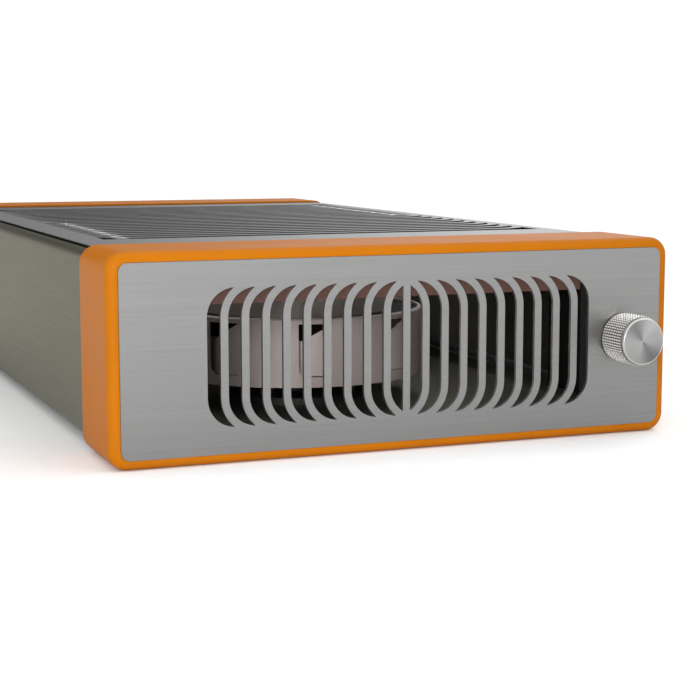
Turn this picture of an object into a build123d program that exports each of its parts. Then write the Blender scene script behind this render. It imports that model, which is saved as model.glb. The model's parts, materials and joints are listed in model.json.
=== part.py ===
from build123d import *
import math
import os

os.makedirs("parts", exist_ok=True)

# A low, flat power station: a sheet metal case with a slotted cover, closed at each end by an
# orange bumper and a metal plate. The origin is at the bottom centre of the bounding box, the
# front faces -Y and +Z is up. All sizes are in millimetres.

# ---- Overall size ----
WIDTH = 240.0
BODY_DEPTH = 450.0
HEIGHT = 82.0
KNOB_REACH = 17.6
MID_Z = HEIGHT / 2
FRONT_Y = -(BODY_DEPTH + KNOB_REACH) / 2 + KNOB_REACH
REAR_Y = FRONT_Y + BODY_DEPTH

# ---- Case ----
SHEET = 1.5
CASE_HALF = 118.5
CASE_BOTTOM = 1.7
CASE_TOP = 80.9
CASE_BEND_LOW = 9.0
CASE_BEND_TOP = 5.0
CASE_SETBACK = 11.2
CASE_FRONT = FRONT_Y + CASE_SETBACK
CASE_REAR = REAR_Y - CASE_SETBACK
CASE_LENGTH = CASE_REAR - CASE_FRONT
RETURN_EDGE = 115.7
COVER_HALF = 113.2
COVER_FLANGE = 6.5
FLOOR_Z = CASE_BOTTOM + SHEET

# ---- Bumpers, end plates and the subframes behind them ----
BUMPER_DEPTH = 45.0
BUMPER_CORNER = 7.5
BUMPER_FRONT_EDGE = 3.6
BUMPER_REAR_EDGE = 0.5
PLATE_WIDTH = 231.0
PLATE_HEIGHT = 74.0
PLATE_THICK = 1.5
PLATE_CORNER = 3.5
PLATE_GAP = 0.1
PLATE_PROUD = 0.4
REAR_RECESS = 3.5
SUBFRAME_BACK = 11.0
WINDOW_HALF = 90.0
WINDOW_LOW = 8.0
WINDOW_HIGH = 61.5

# ---- Hooked vent slots ----
VENT_PITCH = 8.34
VENT_SLOT = 5.31
VENT_RADIUS = 11.2
VENT_STRAIGHT = 15.5
VENT_CENTRE_BAR = 3.05
FRONT_SLOTS = 10
COVER_SCALE = 1.568
COVER_STRAIGHT = 85.5
COVER_SLOTS = 11
COVER_FIELD_X = 3.5
COVER_FIELD_Y = FRONT_Y + 231.0

# ---- Tie rods ----
ROD_X = 111.0
ROD_LOW = 12.5
ROD_HIGH = 69.0
ROD_RADIUS = 2.0
BOSS_RADIUS = 3.5

# ---- Control knob ----
KNOB_X = 97.8
KNOB_RADIUS = 10.4
KNOB_GAP = 0.7
SHAFT_RADIUS = 3.0
RUNNING_GAP = 0.05

# ---- Blower ----
BLOWER_Y = FRONT_Y + 133.0
WHEEL_RADIUS = 60.5
WHEEL_SHEET = 1.0
WHEEL_BOTTOM = 15.1
WHEEL_TOP = 45.4
LOUVRES = 9
LOUVRE_ANGLE = 14.5
FLOOR_SHEET = 1.2
WHEEL_SCREW_CIRCLE = 47.0
FLANGE_LOW = WHEEL_BOTTOM + FLOOR_SHEET + 0.1
FLANGE_HIGH = FLANGE_LOW + 1.2
CAN_RADIUS = 44.0
CAN_WALL = 1.6
CAN_BOTTOM = 14.0
CAN_TOP = 68.0

# ---- Battery ----
BULKHEAD_Y = FRONT_Y + 240.0
CELL_RADIUS = 10.5
CELL_LENGTH = 70.0
CELL_PITCH = 22.2
CELL_COLUMNS = 9
CELL_ROWS = 5
CELL_BOTTOM = 5.0
BATTERY_Y = BULKHEAD_Y + 62.0

# ---- Rear electronics ----
BMS_Y = BATTERY_Y + 61.0
BOARD = 1.6
INVERTER_Y = BMS_Y + 29.0
INVERTER_Z = 9.0
REAR_PLATE_BACK = REAR_Y - REAR_RECESS - PLATE_THICK
REAR_PLATE_FACE = REAR_Y - REAR_RECESS
FAN_X = -62.0
FAN_SIDE = 50.0
FAN_DEPTH = 20.0
USB_X = -16.0
OUTLET_XS = (20.0, 54.0)
OUTLET_WIDTH = 26.0
OUTLET_HEIGHT = 34.0
SWITCH_X = 86.0
SWITCH_Z = 56.0
INLET_Z = 28.0
ROCKER_TILT = 9.0


def save(piece, name):
    """Label a finished piece and write it as its own STEP file."""
    piece.part.label = name
    export_step(piece.part, f"parts/{name}.step")


def across(y, z=MID_Z, x=0.0):
    """Plane across the case at depth y: local x is +X, local y is +Z, the normal faces the front."""
    return Plane(origin=(x, y, z), x_dir=(1, 0, 0), z_dir=(0, -1, 0))


def level(z, x=0.0, y=0.0):
    """Level plane at height z, with its normal up."""
    return Plane(origin=(x, y, z), x_dir=(1, 0, 0), z_dir=(0, 0, 1))


def case_section(inset):
    """Rounded cross-section of the case, inset all round; its local origin is at mid height."""
    low = CASE_BOTTOM + inset - MID_Z
    high = CASE_TOP - inset - MID_Z
    with BuildSketch() as section:
        with Locations((0, (low + high) / 2)):
            Rectangle(2 * (CASE_HALF - inset), high - low)
        fillet(section.vertices().group_by(Axis.Y)[0], CASE_BEND_LOW - inset)
        fillet(section.vertices().group_by(Axis.Y)[-1], CASE_BEND_TOP - inset)
    return section.sketch


def hook_slots(count, scale, straight, squared=False):
    """Slots either side of a straight bar, their ends hooked towards it, stacked along local x.

    Each slot is bounded by two curved edges that run straight and then turn through a quarter
    circle, and they meet at a sharp tip. Squared fields have square outer corners instead.
    """
    pitch = VENT_PITCH * scale
    slot = VENT_SLOT * scale
    radius = VENT_RADIUS * scale
    bar_half = VENT_CENTRE_BAR * scale / 2
    far_radius = radius + pitch - slot
    tip_in = (pitch**2 + radius**2 - far_radius**2) / (2 * pitch)
    tip_y = straight + math.sqrt(radius**2 - tip_in**2)
    with BuildSketch() as slots:
        for number in range(count):
            outer = -bar_half - slot - (count - 1 - number) * pitch
            inner = outer + slot
            tip_x = outer + radius + tip_in
            with BuildLine():
                Line((outer, -straight), (outer, straight))
                TangentArc((outer, straight), (tip_x, tip_y), tangent=(0, 1))
                TangentArc((inner, straight), (tip_x, tip_y), tangent=(0, 1))
                Line((inner, straight), (inner, -straight))
                TangentArc((inner, -straight), (tip_x, -tip_y), tangent=(0, -1))
                TangentArc((outer, -straight), (tip_x, -tip_y), tangent=(0, -1))
            make_face()
            if squared and number == 0:
                for end in (-1, 1):
                    with BuildLine():
                        Polyline((outer, end * straight), (outer, end * tip_y), (tip_x, end * tip_y))
                        TangentArc((outer, end * straight), (tip_x, end * tip_y), tangent=(0, end))
                    make_face()
        Rectangle(2 * bar_half, 2 * tip_y, mode=Mode.SUBTRACT)
        with Locations((radius, 0)):
            Rectangle(2 * radius, 2 * tip_y, mode=Mode.SUBTRACT)
        mirror(about=Plane.YZ)
    return slots.sketch


ROD_PLACES = [(x, z - MID_Z) for x in (-ROD_X, ROD_X) for z in (ROD_LOW, ROD_HIGH)]
BASE_SCREW_RADIUS = 28.0

# ---- Case tray: floor, sides and the returns along the top, bent from one sheet ----
with BuildPart() as case_tray:
    with BuildSketch(across(CASE_FRONT)):
        add(case_section(0.0))
        add(case_section(SHEET), mode=Mode.SUBTRACT)
        with Locations((0, CASE_TOP - MID_Z)):
            Rectangle(2 * RETURN_EDGE, 3 * SHEET, mode=Mode.SUBTRACT)
    extrude(amount=-CASE_LENGTH)
    with Locations(level(CASE_BOTTOM, y=BLOWER_Y)):
        with PolarLocations(BASE_SCREW_RADIUS, 4, 45):
            Cylinder(2.1, 4 * SHEET, mode=Mode.SUBTRACT)
save(case_tray, "case_tray")

# ---- Top cover: flat sheet with hooked slots, and a flange turned down along each side ----
with BuildPart() as top_cover:
    with BuildSketch(across(CASE_FRONT)):
        with Locations((0, CASE_TOP - SHEET / 2 - MID_Z)):
            Rectangle(2 * COVER_HALF, SHEET)
        for side in (-1, 1):
            with Locations((side * (COVER_HALF - SHEET / 2), CASE_TOP - SHEET - COVER_FLANGE / 2 - MID_Z)):
                Rectangle(SHEET, COVER_FLANGE)
    extrude(amount=-CASE_LENGTH)
    field = (COVER_FIELD_X, COVER_FIELD_Y, CASE_TOP)
    with BuildSketch(Plane(origin=field, x_dir=(0, 1, 0), z_dir=(0, 0, 1))):
        add(hook_slots(COVER_SLOTS, COVER_SCALE, COVER_STRAIGHT, squared=True))
    extrude(amount=-2 * SHEET, mode=Mode.SUBTRACT)
save(top_cover, "top_cover")


def bumper(face_y, inward, name):
    """End bumper: a soft ring with a straight seat for the end plate, and a cavity for the case end."""
    tool = across(face_y)
    with BuildPart() as ring:
        with BuildSketch(tool):
            RectangleRounded(WIDTH, HEIGHT, BUMPER_CORNER)
        extrude(amount=-inward * BUMPER_DEPTH)
        ends = ring.faces().sort_by(Axis.Y)
        outer = ends[0] if inward > 0 else ends[-1]
        inner = ends[-1] if inward > 0 else ends[0]
        fillet(outer.edges(), BUMPER_FRONT_EDGE)
        fillet(inner.edges(), BUMPER_REAR_EDGE)
        with BuildSketch(tool):
            seat_corner = PLATE_CORNER + PLATE_GAP
            RectangleRounded(PLATE_WIDTH + 2 * PLATE_GAP, PLATE_HEIGHT + 2 * PLATE_GAP, seat_corner)
        extrude(amount=-inward * SUBFRAME_BACK, mode=Mode.SUBTRACT)
        with BuildSketch(across(face_y + inward * SUBFRAME_BACK)):
            add(case_section(-0.1))
        extrude(amount=-inward * BUMPER_DEPTH, mode=Mode.SUBTRACT)
    save(ring, name)


bumper(FRONT_Y, 1, "front_bumper")
bumper(REAR_Y, -1, "rear_bumper")


def subframe(front, back, window, name):
    """Flat frame between an end plate and the case end, with a window and holes for the bosses."""
    with BuildPart() as frame:
        with BuildSketch(across(front)):
            RectangleRounded(PLATE_WIDTH, PLATE_HEIGHT, PLATE_CORNER)
            add(window, mode=Mode.SUBTRACT)
            with Locations(*ROD_PLACES):
                Circle(BOSS_RADIUS + 0.15, mode=Mode.SUBTRACT)
        extrude(amount=front - back)
    save(frame, name)


# ---- Front subframe: a wide window behind the vent, and a notch round the control housing ----
PLATE_BACK = FRONT_Y - PLATE_PROUD + PLATE_THICK
NOTCH_LEFT = 78.5
NOTCH_RIGHT = 106.0
POCKET_RIGHT = 113.0
POCKET_LOW = 17.0
with BuildSketch() as front_window:
    with Locations((0, (WINDOW_LOW + WINDOW_HIGH) / 2 - MID_Z)):
        Rectangle(2 * WINDOW_HALF, WINDOW_HIGH - WINDOW_LOW)
    with Locations(((NOTCH_LEFT + NOTCH_RIGHT) / 2, 0)):
        Rectangle(NOTCH_RIGHT - NOTCH_LEFT, PLATE_HEIGHT - 8.0)
    with Locations((POCKET_RIGHT, (POCKET_LOW + WINDOW_HIGH) / 2 - MID_Z)):
        Rectangle(40, WINDOW_HIGH - POCKET_LOW, align=(Align.MAX, Align.CENTER))
subframe(PLATE_BACK + 0.1, FRONT_Y + SUBFRAME_BACK, front_window.sketch, "front_subframe")

# ---- Rear subframe: a plain window; the rear plate lies deeper, so nothing stands proud ----
with BuildSketch() as rear_window:
    RectangleRounded(210, 64, 3)
subframe(REAR_Y - SUBFRAME_BACK, REAR_PLATE_BACK - 0.1, rear_window.sketch, "rear_subframe")

# ---- Front plate: vent slots, a hole for the encoder, and four blind bosses for the tie rods ----
PLATE_FACE = FRONT_Y - PLATE_PROUD
BOSS_END = FRONT_Y + CASE_SETBACK - 0.6
BOSS_BORE = BOSS_END - PLATE_BACK - 1.5
with BuildPart() as front_plate:
    with BuildSketch(across(PLATE_FACE)):
        RectangleRounded(PLATE_WIDTH, PLATE_HEIGHT, PLATE_CORNER)
        add(hook_slots(FRONT_SLOTS, 1.0, VENT_STRAIGHT), mode=Mode.SUBTRACT)
        with Locations((KNOB_X, 0)):
            Circle(4.6, mode=Mode.SUBTRACT)
    extrude(amount=-PLATE_THICK)
    with BuildSketch(across(PLATE_BACK)):
        with Locations(*ROD_PLACES):
            Circle(BOSS_RADIUS)
    extrude(amount=PLATE_BACK - BOSS_END)
    with BuildSketch(across(BOSS_END)):
        with Locations(*ROD_PLACES):
            Circle(ROD_RADIUS + RUNNING_GAP)
    extrude(amount=BOSS_BORE, mode=Mode.SUBTRACT)
save(front_plate, "front_plate")

# ---- Tie rods: four rods pull the two end plates and bumpers against the case ----
ROD_FRONT = BOSS_END - BOSS_BORE + 0.5
ROD_END = REAR_Y - 1.0
with BuildPart() as tie_rods:
    with BuildSketch(across(ROD_FRONT)):
        with Locations(*ROD_PLACES):
            Circle(ROD_RADIUS)
    extrude(amount=ROD_FRONT - ROD_END)
save(tie_rods, "tie_rods")

with BuildPart() as tie_rod_nuts:
    with BuildSketch(across(REAR_PLATE_FACE)):
        with Locations(*ROD_PLACES):
            RegularPolygon(3.9, 6)
            Circle(ROD_RADIUS + RUNNING_GAP, mode=Mode.SUBTRACT)
    extrude(amount=-3.0)
save(tie_rod_nuts, "tie_rod_nuts")

# ---- Rear plate: fan vent and openings for the sockets and the switch ----
USB_PLACES = [(USB_X, lift) for lift in (11.0, 0.0, -11.0)]
USB_WIDTH = 13.4
USB_HEIGHT = 6.0
with BuildPart() as rear_plate:
    with BuildSketch(across(REAR_PLATE_BACK)):
        RectangleRounded(PLATE_WIDTH, PLATE_HEIGHT, PLATE_CORNER)
        with Locations((FAN_X, 0)):
            add(hook_slots(3, 1.0, 10.0), mode=Mode.SUBTRACT)
        with Locations(*[(x, 0) for x in OUTLET_XS]):
            Rectangle(OUTLET_WIDTH + 0.4, OUTLET_HEIGHT + 0.4, mode=Mode.SUBTRACT)
        with Locations(*USB_PLACES):
            Rectangle(USB_WIDTH + 0.6, USB_HEIGHT + 0.6, mode=Mode.SUBTRACT)
        with Locations((SWITCH_X, SWITCH_Z - MID_Z)):
            Rectangle(13.4, 19.8, mode=Mode.SUBTRACT)
        with Locations((SWITCH_X, INLET_Z - MID_Z)):
            Circle(6.1, mode=Mode.SUBTRACT)
        with Locations(*ROD_PLACES):
            Circle(ROD_RADIUS + 0.2, mode=Mode.SUBTRACT)
        with Locations((FAN_X, 0)):
            with GridLocations(FAN_SIDE - 9, FAN_SIDE - 9, 2, 2):
                Circle(1.7, mode=Mode.SUBTRACT)
    extrude(amount=-PLATE_THICK)
save(rear_plate, "rear_plate")

# ---- Bulkhead: sheet wall between the blower bay and the battery ----
BULKHEAD_TOP = 72.0
with BuildPart() as bulkhead:
    with BuildSketch(across(BULKHEAD_Y)):
        add(case_section(SHEET + 0.2))
        with Locations((0, BULKHEAD_TOP - MID_Z + 10)):
            Rectangle(WIDTH, 20, mode=Mode.SUBTRACT)
        with Locations(*ROD_PLACES):
            Circle(ROD_RADIUS + 0.5, mode=Mode.SUBTRACT)
        with Locations((0, 14)):
            with GridLocations(24, 1, 7, 1):
                SlotOverall(16, 5, mode=Mode.SUBTRACT)
    extrude(amount=-SHEET)
save(bulkhead, "bulkhead")

# ---- Control housing: moulded box behind the knob, open to the rear, with a tall front flange ----
HOUSING_LEFT = 79.0
HOUSING_RIGHT = 112.5
HOUSING_LOW = 17.5
HOUSING_HIGH = 61.0
HOUSING_WALL = 2.0
HOUSING_DEPTH = 27.0
HOUSING_FRONT = PLATE_BACK + 0.1
FLANGE_RIGHT = 105.5
HOUSING_CENTRE = ((HOUSING_LEFT + HOUSING_RIGHT) / 2, (HOUSING_LOW + HOUSING_HIGH) / 2 - MID_Z)
HOUSING_WIDTH = HOUSING_RIGHT - HOUSING_LEFT
HOUSING_TALL = HOUSING_HIGH - HOUSING_LOW
with BuildPart() as control_housing:
    with BuildSketch(across(HOUSING_FRONT)):
        with Locations(HOUSING_CENTRE):
            RectangleRounded(HOUSING_WIDTH, HOUSING_TALL, 2)
    extrude(amount=-HOUSING_DEPTH)
    with BuildSketch(across(HOUSING_FRONT)):
        with Locations(((HOUSING_LEFT + FLANGE_RIGHT) / 2, 0)):
            Rectangle(FLANGE_RIGHT - HOUSING_LEFT, PLATE_HEIGHT - 9.0)
    extrude(amount=-HOUSING_WALL)
    with BuildSketch(across(HOUSING_FRONT + HOUSING_WALL)):
        with Locations(HOUSING_CENTRE):
            Rectangle(HOUSING_WIDTH - 2 * HOUSING_WALL, HOUSING_TALL - 2 * HOUSING_WALL)
    extrude(amount=-HOUSING_DEPTH, mode=Mode.SUBTRACT)
    with BuildSketch(across(HOUSING_FRONT)):
        with Locations((KNOB_X, 0)):
            Circle(4.6)
    extrude(amount=-2 * HOUSING_WALL, mode=Mode.SUBTRACT)
save(control_housing, "control_housing")

# ---- Rotary encoder: body with a threaded bush, nut, sliding washer and switch ----
BUSH_RADIUS = 4.5
ENCODER_FRONT = HOUSING_FRONT + HOUSING_WALL + 0.1
ENCODER_DEPTH = 12.0
BUSH_TIP = PLATE_FACE - 3.2
CHAMBER_FRONT = ENCODER_FRONT + 5.3
CHAMBER_RADIUS = 5.3
SLIDER_FRONT = CHAMBER_FRONT + 0.5
ENCODER_REAR = ENCODER_FRONT + ENCODER_DEPTH


def on_knob_axis(y):
    """Plane at depth y, centred on the axis of the knob."""
    return across(y, x=KNOB_X)


with BuildPart() as encoder_body:
    with BuildSketch(on_knob_axis(ENCODER_FRONT)):
        RectangleRounded(14, 14, 1)
    extrude(amount=-ENCODER_DEPTH)
    with BuildSketch(on_knob_axis(ENCODER_FRONT)):
        Circle(BUSH_RADIUS)
    extrude(amount=ENCODER_FRONT - BUSH_TIP)
    with BuildSketch(on_knob_axis(BUSH_TIP)):
        Circle(SHAFT_RADIUS + RUNNING_GAP)
    extrude(amount=-(ENCODER_REAR - BUSH_TIP), mode=Mode.SUBTRACT)
    with BuildSketch(on_knob_axis(CHAMBER_FRONT)):
        Circle(CHAMBER_RADIUS)
    extrude(amount=-ENCODER_DEPTH, mode=Mode.SUBTRACT)
save(encoder_body, "encoder_body")

with BuildPart() as encoder_nut:
    with BuildSketch(on_knob_axis(PLATE_FACE)):
        RegularPolygon(6.6, 6)
        Circle(BUSH_RADIUS + RUNNING_GAP, mode=Mode.SUBTRACT)
    extrude(amount=2.0)
save(encoder_nut, "encoder_nut")

with BuildPart() as encoder_slider:
    with BuildSketch(on_knob_axis(SLIDER_FRONT)):
        Circle(CHAMBER_RADIUS - RUNNING_GAP)
        Circle(SHAFT_RADIUS + RUNNING_GAP, mode=Mode.SUBTRACT)
    extrude(amount=-2.0)
save(encoder_slider, "encoder_slider")

with BuildPart() as push_switch:
    with BuildSketch(on_knob_axis(ENCODER_REAR - 1.0)):
        Rectangle(5, 5)
    extrude(amount=-1.0)
save(push_switch, "push_switch")

with BuildPart() as control_board:
    with BuildSketch(across(ENCODER_REAR + 0.1)):
        with Locations(HOUSING_CENTRE):
            Rectangle(HOUSING_WIDTH - 2 * HOUSING_WALL - 1, HOUSING_TALL - 2 * HOUSING_WALL - 1)
    extrude(amount=-BOARD)
save(control_board, "control_board")

# ---- Knob and its shaft: turned aluminium with a dished face, hollow at the back for the nut ----
KNOB_FACE = FRONT_Y - KNOB_REACH
KNOB_BACK = PLATE_FACE - KNOB_GAP
KNOB_RIM = 9.2
KNOB_BEVEL = 1.7
DISH_RADIUS = 9.0
DISH_DEPTH = 0.8
NUT_POCKET = 4.3
NUT_POCKET_RADIUS = 7.8
KNOB_LENGTH = KNOB_BACK - KNOB_FACE
SHAFT_BORE = KNOB_LENGTH - 3.3
with BuildPart() as knob:
    with BuildSketch(Plane(origin=(KNOB_X, KNOB_FACE, MID_Z), x_dir=(1, 0, 0), z_dir=(0, 0, 1))):
        with BuildLine():
            ThreePointArc((0, DISH_DEPTH), (DISH_RADIUS / 2, DISH_DEPTH * 0.75), (DISH_RADIUS, 0))
            Polyline(
                (DISH_RADIUS, 0),
                (KNOB_RIM, 0),
                (KNOB_RADIUS, KNOB_BEVEL),
                (KNOB_RADIUS, KNOB_LENGTH),
                (NUT_POCKET_RADIUS, KNOB_LENGTH),
                (NUT_POCKET_RADIUS, KNOB_LENGTH - NUT_POCKET),
                (SHAFT_RADIUS + RUNNING_GAP, KNOB_LENGTH - NUT_POCKET),
                (SHAFT_RADIUS + RUNNING_GAP, KNOB_LENGTH - SHAFT_BORE),
                (0, KNOB_LENGTH - SHAFT_BORE),
                (0, DISH_DEPTH),
            )
        make_face()
    revolve(axis=Axis((KNOB_X, KNOB_FACE, MID_Z), (0, 1, 0)))
save(knob, "knob")

SHAFT_TIP = KNOB_BACK - SHAFT_BORE + 0.2
with BuildPart() as knob_shaft:
    with BuildSketch(on_knob_axis(SHAFT_TIP)):
        Circle(SHAFT_RADIUS)
    extrude(amount=-(ENCODER_REAR - 2.2 - SHAFT_TIP))
save(knob_shaft, "knob_shaft")

# ---- Blower: external rotor motor on a post, with a sheet wheel of inward-bent blades ----
POST_RADIUS = 14.0
BEARING_RADIUS = 11.0
BLOWER_SHAFT = 4.0
SHAFT_BOTTOM = 8.0
CORE_RADIUS = 36.0
CORE_LOW = 26.0
CORE_HIGH = 52.0
TEETH = 9
CAN_INNER = CAN_RADIUS - CAN_WALL


def tube(outer, inner, low, high):
    """Upright tube on the blower's axis."""
    with BuildSketch(level(low, y=BLOWER_Y)) as ring:
        Circle(outer)
        Circle(inner, mode=Mode.SUBTRACT)
    extrude(ring.sketch, amount=high - low)


with BuildPart() as blower_base:
    tube(34, BEARING_RADIUS + RUNNING_GAP, FLOOR_Z, FLOOR_Z + 3)
    tube(POST_RADIUS, BEARING_RADIUS + RUNNING_GAP, FLOOR_Z, 53)
    with Locations(level(FLOOR_Z, y=BLOWER_Y)):
        with PolarLocations(BASE_SCREW_RADIUS, 4, 45):
            Cylinder(2.1, 10, mode=Mode.SUBTRACT)
save(blower_base, "blower_base")

with BuildPart() as blower_base_screws:
    with Locations(level(FLOOR_Z + 3, y=BLOWER_Y)):
        with PolarLocations(BASE_SCREW_RADIUS, 4, 45):
            Cylinder(3.5, 3, align=(Align.CENTER, Align.CENTER, Align.MIN))
            Cylinder(2.0, 4.4, align=(Align.CENTER, Align.CENTER, Align.MAX))
save(blower_base_screws, "blower_base_screws")

with BuildPart() as blower_bearings:
    for bearing_z in (9.0, 44.0):
        tube(BEARING_RADIUS, BLOWER_SHAFT + RUNNING_GAP, bearing_z, bearing_z + 7)
save(blower_bearings, "blower_bearings")

with BuildPart() as stator_core:
    with BuildSketch(level(CORE_LOW, y=BLOWER_Y)):
        Circle(19)
        with PolarLocations(0, TEETH):
            with Locations((26, 0)):
                Rectangle(16, 5)
        with PolarLocations(0, TEETH):
            with Locations((CORE_RADIUS - 1.5, 0)):
                Rectangle(3, 18)
        Circle(POST_RADIUS + 0.1, mode=Mode.SUBTRACT)
    extrude(amount=CORE_HIGH - CORE_LOW)
save(stator_core, "stator_core")

with BuildPart() as stator_windings:
    with Locations(level((CORE_LOW + CORE_HIGH) / 2, y=BLOWER_Y)):
        with PolarLocations(0, TEETH):
            with Locations((27, 0, 0)):
                Box(10, 10, CORE_HIGH - CORE_LOW + 5)
    with Locations(level((CORE_LOW + CORE_HIGH) / 2, y=BLOWER_Y)):
        with PolarLocations(0, TEETH):
            with Locations((27, 0, 0)):
                Box(11, 5.4, CORE_HIGH - CORE_LOW + 0.4, mode=Mode.SUBTRACT)
save(stator_windings, "stator_windings")

with BuildPart() as blower_shaft:
    with BuildSketch(level(SHAFT_BOTTOM, y=BLOWER_Y)):
        Circle(BLOWER_SHAFT)
    extrude(amount=CAN_TOP - SHAFT_BOTTOM + 0.6)
save(blower_shaft, "blower_shaft")

with BuildPart() as rotor_can:
    tube(CAN_RADIUS, CAN_INNER, CAN_BOTTOM, CAN_TOP)
    tube(CAN_RADIUS, BLOWER_SHAFT + RUNNING_GAP, CAN_TOP - 2, CAN_TOP)
    fillet(rotor_can.faces().sort_by(Axis.Z)[-1].outer_wire().edges(), 1.8)
    tube(9, BLOWER_SHAFT + RUNNING_GAP, CAN_TOP - 12, CAN_TOP - 1)
    tube(50, CAN_INNER, FLANGE_LOW, FLANGE_HIGH)
    with Locations(level(WHEEL_BOTTOM, y=BLOWER_Y)):
        with PolarLocations(WHEEL_SCREW_CIRCLE, 6, 10):
            Cylinder(1.1, 10, mode=Mode.SUBTRACT)
save(rotor_can, "rotor_can")

with BuildPart() as rotor_magnets:
    tube(CAN_INNER - 0.1, CORE_RADIUS + 1.2, CORE_LOW - 2, CORE_HIGH + 2)
save(rotor_magnets, "rotor_magnets")

# A dark flanged collar on the can closes the top of the gap between the can and the wheel.
COLLAR_TOP = WHEEL_TOP - 1.5
COLLAR_WALL = 1.0
with BuildPart() as rotor_collar:
    tube(CAN_RADIUS + COLLAR_WALL, CAN_RADIUS + 0.05, COLLAR_TOP - 10, COLLAR_TOP)
    tube(WHEEL_RADIUS - WHEEL_SHEET - 0.4, CAN_RADIUS + 0.05, COLLAR_TOP - COLLAR_WALL, COLLAR_TOP)
save(rotor_collar, "rotor_collar")

# The wheel is one sheet: a rim with a rolled lip and pressed louvres, and a floor that is screwed
# to the can's flange. Each louvre stays joined at one side, bends inwards, and has a sloping top.
LIP_WIDTH = 1.8
LIP_ROUNDING = 1.0
LOUVRE_LOW = WHEEL_BOTTOM + 4.6
LOUVRE_HIGH = WHEEL_TOP - 2.5
LOUVRE_TALL = LOUVRE_HIGH - LOUVRE_LOW
LOUVRE_BEND = 22.0
LOUVRE_SWEEP = 39.0
LOUVRE_DROP = 8.5
LOUVRE_GAP = 0.3
LOUVRE_CORNER = 4.0
FIRST_LOUVRE = -100.0
LOUVRE_BEARINGS = [FIRST_LOUVRE + number * 360 / LOUVRES for number in range(LOUVRES)]
HALF_SPAN = WHEEL_RADIUS * math.sin(math.radians(LOUVRE_ANGLE / 2))


def louvre_plane(bearing, distance):
    """Upright plane across one louvre, at a distance from the axis, with its normal outwards."""
    turn = math.radians(bearing)
    outward = (math.cos(turn), math.sin(turn), 0)
    middle = (
        distance * math.cos(turn),
        BLOWER_Y + distance * math.sin(turn),
        (LOUVRE_LOW + LOUVRE_HIGH) / 2,
    )
    return Plane(origin=middle, x_dir=(-math.sin(turn), math.cos(turn), 0), z_dir=outward)


with BuildPart() as blower_wheel:
    tube(WHEEL_RADIUS, WHEEL_RADIUS - WHEEL_SHEET, WHEEL_BOTTOM, WHEEL_TOP)
    tube(WHEEL_RADIUS, WHEEL_RADIUS - LIP_WIDTH, WHEEL_TOP - 1.2, WHEEL_TOP)
    fillet(blower_wheel.faces().sort_by(Axis.Z)[-1].outer_wire().edges(), LIP_ROUNDING)
    tube(WHEEL_RADIUS, CAN_RADIUS + 0.2, WHEEL_BOTTOM, WHEEL_BOTTOM + FLOOR_SHEET)
    with Locations(level(WHEEL_BOTTOM, y=BLOWER_Y)):
        with PolarLocations(WHEEL_SCREW_CIRCLE, 6, 10):
            Cylinder(1.1, 10, mode=Mode.SUBTRACT)
    for bearing in LOUVRE_BEARINGS:
        with BuildSketch(louvre_plane(bearing, WHEEL_RADIUS - 8)) as opening:
            Rectangle(2 * HALF_SPAN, LOUVRE_TALL)
            fillet(opening.vertices().group_by(Axis.Y)[0].sort_by(Axis.X)[0], LOUVRE_CORNER)
        extrude(amount=12, mode=Mode.SUBTRACT)
    for bearing in LOUVRE_BEARINGS:
        hinge = bearing + LOUVRE_ANGLE / 2
        reach = WHEEL_RADIUS - WHEEL_SHEET / 2 - LOUVRE_BEND
        bend_x = reach * math.cos(math.radians(hinge))
        bend_y = BLOWER_Y + reach * math.sin(math.radians(hinge))
        with BuildSketch(level(LOUVRE_LOW + LOUVRE_GAP, x=bend_x, y=bend_y)):
            with BuildLine():
                outer = CenterArc((0, 0), LOUVRE_BEND + 0.4, hinge - LOUVRE_SWEEP, LOUVRE_SWEEP + 2)
                inner = CenterArc((0, 0), LOUVRE_BEND - 0.4, hinge - LOUVRE_SWEEP, LOUVRE_SWEEP + 2)
                Line(outer @ 0, inner @ 0)
                Line(outer @ 1, inner @ 1)
            make_face()
        extrude(amount=LOUVRE_TALL - 2 * LOUVRE_GAP)
        with BuildSketch(louvre_plane(bearing, WHEEL_RADIUS - 14)):
            top = LOUVRE_TALL / 2
            with BuildLine():
                Polyline((HALF_SPAN, top), (-HALF_SPAN, top), (-HALF_SPAN, top - LOUVRE_DROP), close=True)
            make_face()
        extrude(amount=14, mode=Mode.SUBTRACT)
save(blower_wheel, "blower_wheel")

with BuildPart() as wheel_screws:
    with Locations(level(FLANGE_HIGH, y=BLOWER_Y)):
        with PolarLocations(WHEEL_SCREW_CIRCLE, 6, 10):
            Cylinder(2.0, 1.4, align=(Align.CENTER, Align.CENTER, Align.MIN))
            Cylinder(1.0, 3.2, align=(Align.CENTER, Align.CENTER, Align.MAX))
save(wheel_screws, "wheel_screws")

# ---- Battery pack: upright cells in two holders, joined by bus bars ----
PACK_WIDTH = CELL_COLUMNS * CELL_PITCH + 2
PACK_DEPTH = CELL_ROWS * CELL_PITCH + 2
BUS_BAR = 0.4
HOLDER_HEIGHT = 9.0
CELL_TOP = CELL_BOTTOM + CELL_LENGTH

with BuildPart() as battery_cells:
    with BuildSketch(level(CELL_BOTTOM, y=BATTERY_Y)):
        with GridLocations(CELL_PITCH, CELL_PITCH, CELL_COLUMNS, CELL_ROWS):
            Circle(CELL_RADIUS)
    extrude(amount=CELL_LENGTH)
save(battery_cells, "battery_cells")


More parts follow.
